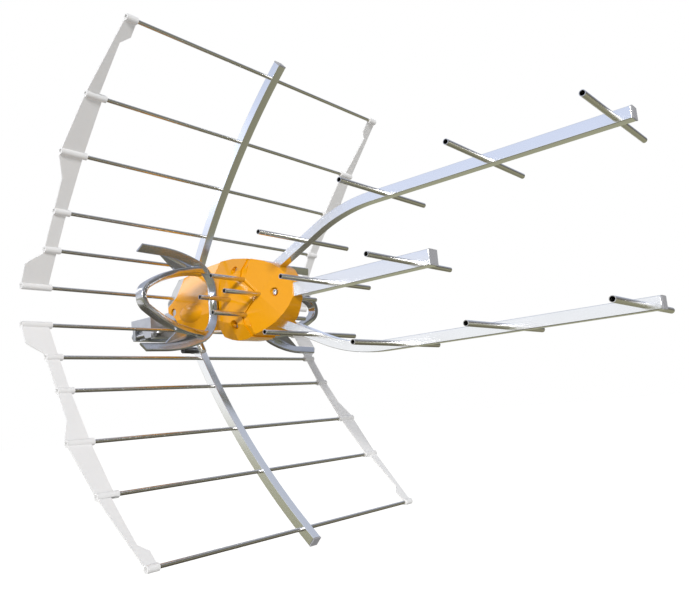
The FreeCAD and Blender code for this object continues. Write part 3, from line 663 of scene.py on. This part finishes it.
@dataclass
class MastClamp(SubAssembly):
    """Bracket with its level, saddle, sliding jaw and their bolts.

    Heights along a bolt are Y in the frame; dome_rings are shares of the head's radius.
    """

    sheet_radius: float = 0.5 * MM
    shortest_edge: float = 4.0 * MM
    crease_deg: float = 40.0
    bolt_x: float = 28.5 * MM
    bolt_z: float = -7.0 * MM
    bolt_end: float = -44.0 * MM
    bolt_radius: float = 3.0 * MM
    bolt_steps: int = 20
    thread_root: float = 2.6 * MM
    thread_length: float = 34.0 * MM
    thread_pitch: float = 1.0 * MM
    point: float = 0.6 * MM
    head_seat: float = 26.0 * MM
    head_radius: float = 6.5 * MM
    head_height: float = 3.18 * MM
    dome_radius: float = 13.0 * MM
    dome_rings: tuple[float, ...] = (1.0, 0.8, 0.55, 0.3, 0.0)
    vial_at: Vector = spot(0.0, -27.6 * MM, 7.0 * MM)
    vial_radius: float = 2.5 * MM
    vial_half: float = 7.0 * MM
    vial_edge: float = 0.7 * MM
    vial_smooth_deg: float = 50.0
    mark_x: float = 2.3 * MM
    mark_half: float = 0.25 * MM
    mark_proud: float = 0.04 * MM
    bubble_length: float = 3.4 * MM
    bubble_depth: float = 0.32 * MM
    bubble_width: float = 2.2 * MM
    bubble_segments: tuple[int, int] = (20, 12)
    bubble_smooth_deg: float = 60.0

    def bolt_outline(self) -> Outline:
        """Draws half a bolt from its point, by thread and shank, to the dome of its head.

        Returns:
            Points (radius, height), from axis to axis.
        """
        outline = [(0.0, self.bolt_end), (self.bolt_radius - self.point, self.bolt_end),
                   (self.bolt_radius, self.bolt_end + self.point)]
        start = self.bolt_end + 2 * self.point
        outline += ridges(self.bolt_radius, self.thread_root,
                          (start, start + self.thread_length), self.thread_pitch)
        shank = outline[-1][1] + self.point
        outline += [(self.bolt_radius, shank), (self.bolt_radius, self.head_seat),
                    (self.head_radius, self.head_seat)]
        centre = self.head_seat + self.head_height - self.dome_radius
        for share in self.dome_rings:
            radius = share * self.head_radius
            outline.append((radius, centre + math.sqrt(self.dome_radius ** 2 - radius ** 2)))
        return outline

    def bolts(self) -> bpy.types.Object:
        """Makes both clamp bolts, with their threads.

        Returns:
            One piece that moves with the jaw and replaces the bolts' node.
        """
        along_y = Matrix.Rotation(-QUARTER_TURN, 4, "X")
        left = Matrix.Translation((-self.bolt_x, 0.0, self.bolt_z))
        both = turned(self.bolt_outline(), left @ along_y, self.bolt_steps)
        copy = bmesh.ops.duplicate(both, geom=both.verts[:] + both.edges[:] + both.faces[:])
        right = [item for item in copy["geom"] if isinstance(item, bmesh.types.BMVert)]
        bmesh.ops.translate(both, vec=Vector((2 * self.bolt_x, 0.0, 0.0)), verts=right)
        piece = piece_from(both, "clamp_bolts_finished", Body.JAW.value, STEEL)
        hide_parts("clamp_bolts")
        return piece

    def bubble(self) -> bpy.types.Object:
        """Makes the bubble at the front of the vial.

        Returns:
            A flat drop that stands a little proud of the glass.
        """
        around, along = self.bubble_segments
        drop = bmesh.new()
        bmesh.ops.create_uvsphere(drop, u_segments=around, v_segments=along,
                                  radius=UNIT_BALL_RADIUS)
        size = Matrix.Diagonal((self.bubble_length, self.bubble_depth, self.bubble_width, 1.0))
        front = self.vial_at + Vector((0.0, -self.vial_radius + self.mark_proud, 0.0))
        bmesh.ops.transform(drop, matrix=Matrix.Translation(front) @ size, verts=drop.verts)
        return piece_from(drop, "vial_bubble", Body.ANTENNA.value, INSULATOR,
                          self.bubble_smooth_deg)

    def vial(self) -> list[bpy.types.Object]:
        """Makes the level vial with rounded ends, its two marks and its bubble.

        Returns:
            The four pieces, of which the first replaces the vial's node.
        """
        place = Matrix.Translation(self.vial_at) @ Matrix.Rotation(QUARTER_TURN, 4, "Y")
        tip = self.vial_radius - self.vial_edge
        end = self.vial_half - self.vial_edge
        outline = [(0.0, -self.vial_half), (tip, -self.vial_half), (self.vial_radius, -end),
                   (self.vial_radius, end), (tip, self.vial_half), (0.0, self.vial_half)]
        glass = piece_from(turned(outline, place), "level_vial_finished", Body.ANTENNA.value,
                           VIAL, self.vial_smooth_deg)
        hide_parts("level_vial")
        made = [glass]
        inner = self.vial_radius - self.mark_proud
        outer = self.vial_radius + self.mark_proud
        for name, x in (("left_vial_mark", -self.mark_x), ("right_vial_mark", self.mark_x)):
            low, high = x - self.mark_half, x + self.mark_half
            ring = [(inner, low), (outer, low), (outer, high), (inner, high), (inner, low)]
            made.append(piece_from(turned(ring, place), name, Body.ANTENNA.value, SOCKET_BLACK))
        return made + [self.bubble()]

    def build(self) -> None:
        """Rounds the edges of bracket and mast halves, and makes bolts and level."""
        for node in ("mast_bracket", "mast_saddle", "clamp_jaw"):
            self.pieces.append(softened(node, self.sheet_radius, self.shortest_edge,
                                        self.crease_deg))
        self.pieces.append(self.bolts())
        self.pieces += self.vial()
        self.nodes += ["bracket_bolt", "bracket_nut", "clamp_nuts", "clamp_washers"]


@dataclass
class Studio:
    """Pale floor, soft light and the camera."""

    camera_place: Vector = spot(-0.67389, -0.92732, -0.15104)
    look_along: Vector = spot(0.765023, 0.623501, 0.161202)
    roll_deg: float = -4.84
    lens_mm: float = 37.03
    sun_from: Vector = spot(-0.75, -0.55, 0.32)
    sun_strength: float = 2.4
    sun_spread_deg: float = 10.0
    panel_from: Vector = spot(-0.46, 0.73, 0.51)
    panel_about: Vector = spot(0.0, -0.15, 0.01)
    panel_far: float = 1.5
    panel_size: float = 0.3
    panel_watts: float = 1.2
    ambient: Colour = (0.38, 0.385, 0.40)
    sky: tuple[tuple[float, Colour], ...] = (
        (0.0, WHITE), (0.10, (0.98, 0.99, 1.0)), (0.20, (0.76, 0.80, 0.92)),
        (0.35, (0.66, 0.74, 0.96)), (0.62, (0.48, 0.52, 0.62)), (1.0, (0.62, 0.66, 0.74)))
    room_colour: Colour = (0.15, 0.145, 0.13)
    backdrop_from: Vector = spot(-0.45, 0.75, 0.48)
    room_edge: tuple[float, float] = (-0.65, -0.05)
    floor_colour: Colour = (0.76, 0.75, 0.72)
    floor_glow: float = 0.62
    # In metal the floor shows painted shade under the antenna, from this colour near by to
    # floor_far beyond floor_shade.
    floor_painted_shade: Colour = (0.10, 0.09, 0.07)
    floor_far: Colour = (0.36, 0.36, 0.25)
    floor_shade: tuple[float, float] = (0.7, 2.2)
    floor_drop: float = 0.35
    floor_half: float = 40.0

    def camera(self) -> None:
        """Sets the camera where the photograph was taken from."""
        data = bpy.data.cameras.new("camera")
        data.lens = self.lens_mm
        camera = placed("camera", data)
        turn = self.look_along.to_track_quat("-Z", "Y").to_matrix().to_4x4()
        roll = Matrix.Rotation(math.radians(self.roll_deg), 4, "Z")
        camera.matrix_world = Matrix.Translation(self.camera_place) @ turn @ roll
        bpy.context.scene.camera = camera

    def lamp(self, kind: Lamp, energy: float, source: Vector) -> bpy.types.Object:
        """Adds a lamp at the origin.

        Args:
            kind: Which lamp; it gives the name too.
            energy: Its strength or watts.
            source: Direction that its light comes from.

        Returns:
            The lamp.
        """
        name = kind.name.lower()
        data = bpy.data.lights.new(name, kind.value)
        data.energy = energy
        lamp = placed(name, data)
        lamp.rotation_mode = "QUATERNION"
        lamp.rotation_quaternion = source.to_track_quat("Z", "Y")
        return lamp

    def sun(self) -> None:
        """Adds the main light, from near the camera and a little above it."""
        lamp = self.lamp(Lamp.SUN, self.sun_strength, self.sun_from)
        lamp.data.angle = math.radians(self.sun_spread_deg)

    def panel(self) -> None:
        """Adds a soft light panel behind the left side, for the sheen on the mouldings."""
        lamp = self.lamp(Lamp.PANEL, self.panel_watts, self.panel_from)
        lamp.data.size = self.panel_size
        lamp.location = self.panel_about + self.panel_from.normalized() * self.panel_far

    def world(self) -> None:
        """Lays the surroundings: white to the camera, plain light on the object.

        In metal the backdrop shows white to pale blue, and the room in front of it darker.
        """
        world = bpy.data.worlds.new("studio")
        world.use_nodes = True
        bpy.context.scene.world = world
        sheet = NodeSheet(world.node_tree)
        direction = sheet.add("TexCoord").outputs["Generated"]
        height = sheet.add("SeparateXYZ", {0: direction}).outputs["Z"]
        ramp = sheet.add("ValToRGB", {"Fac": height})
        stops = ramp.color_ramp.elements
        while len(stops) < len(self.sky):
            stops.new(1.0)
        for stop, (place, colour) in zip(stops, self.sky):
            stop.position = place
            stop.color = opaque(colour)
        sky = sheet.add("Background", {"Color": ramp.outputs["Color"]}).outputs[0]
        facing = sheet.add("VectorMath", {0: direction, 1: self.backdrop_from.normalized()},
                           operation="DOT_PRODUCT").outputs["Value"]
        room = sheet.plain("Background", self.room_colour)
        mirrored = sheet.mix(sheet.fade(facing, self.room_edge), room, sky)
        light = sheet.plain("Background", self.ambient)
        backdrop = sheet.plain("Background", WHITE)
        sheet.add("OutputWorld", {"Surface": sheet.by_ray(backdrop, mirrored, light)})

    def floor_material(self) -> bpy.types.Material:
        """Makes the floor's material: white to the camera, and in metal a painted shade that is
        darkest near by.

        Returns:
            The material, which still takes a faint shadow.
        """
        made = bpy.data.materials.new("floor")
        made.use_nodes = True
        made.cycles.emission_sampling = "NONE"
        sheet = NodeSheet(made.node_tree)
        place = sheet.add("TexCoord").outputs["Object"]
        reach = sheet.add("VectorMath", {0: place}, operation="LENGTH").outputs["Value"]
        # Painted shade under the antenna, seen only in metal: dark near it, lighter olive further
        # out, while the pale floor lights the object.
        near = sheet.plain("Emission", self.floor_painted_shade)
        far = sheet.plain("Emission", self.floor_far)
        mirrored = sheet.mix(sheet.fade(reach, self.floor_shade), near, far)
        matt = sheet.plain("BsdfDiffuse", self.floor_colour)
        glow = sheet.add("Emission", {"Strength": self.floor_glow}).outputs[0]
        shown = sheet.add("AddShader", {0: matt, 1: glow}).outputs[0]
        sheet.add("OutputMaterial", {"Surface": sheet.by_ray(shown, mirrored, matt)})
        return made

    def floor(self) -> None:
        """Lays the floor below the antenna."""
        bm = bmesh.new()
        bmesh.ops.create_grid(bm, x_segments=1, y_segments=1, size=self.floor_half)
        level = CAD_BOX[0].z - self.floor_drop
        bmesh.ops.translate(bm, vec=Vector((0.0, 0.0, level)), verts=bm.verts)
        mesh = bpy.data.meshes.new("floor")
        bm.to_mesh(mesh)
        bm.free()
        floor = placed("floor", mesh)
        mesh.materials.append(self.floor_material())

    def build(self) -> None:
        """Sets up everything round the object."""
        bpy.context.scene.view_settings.view_transform = "Standard"
        self.camera()
        self.sun()
        self.panel()
        self.world()
        self.floor()


def main() -> None:
    """Builds the studio and the antenna, group by group."""
    logging.basicConfig(level=logging.INFO, format="%(message)s")
    Studio().build()
    for group in (Housing(), Dipole(), Booms(), Reflector(), MastClamp()):
        group.build()
        group.dress()
        group.report()


if __name__ == "__main__":
    main()
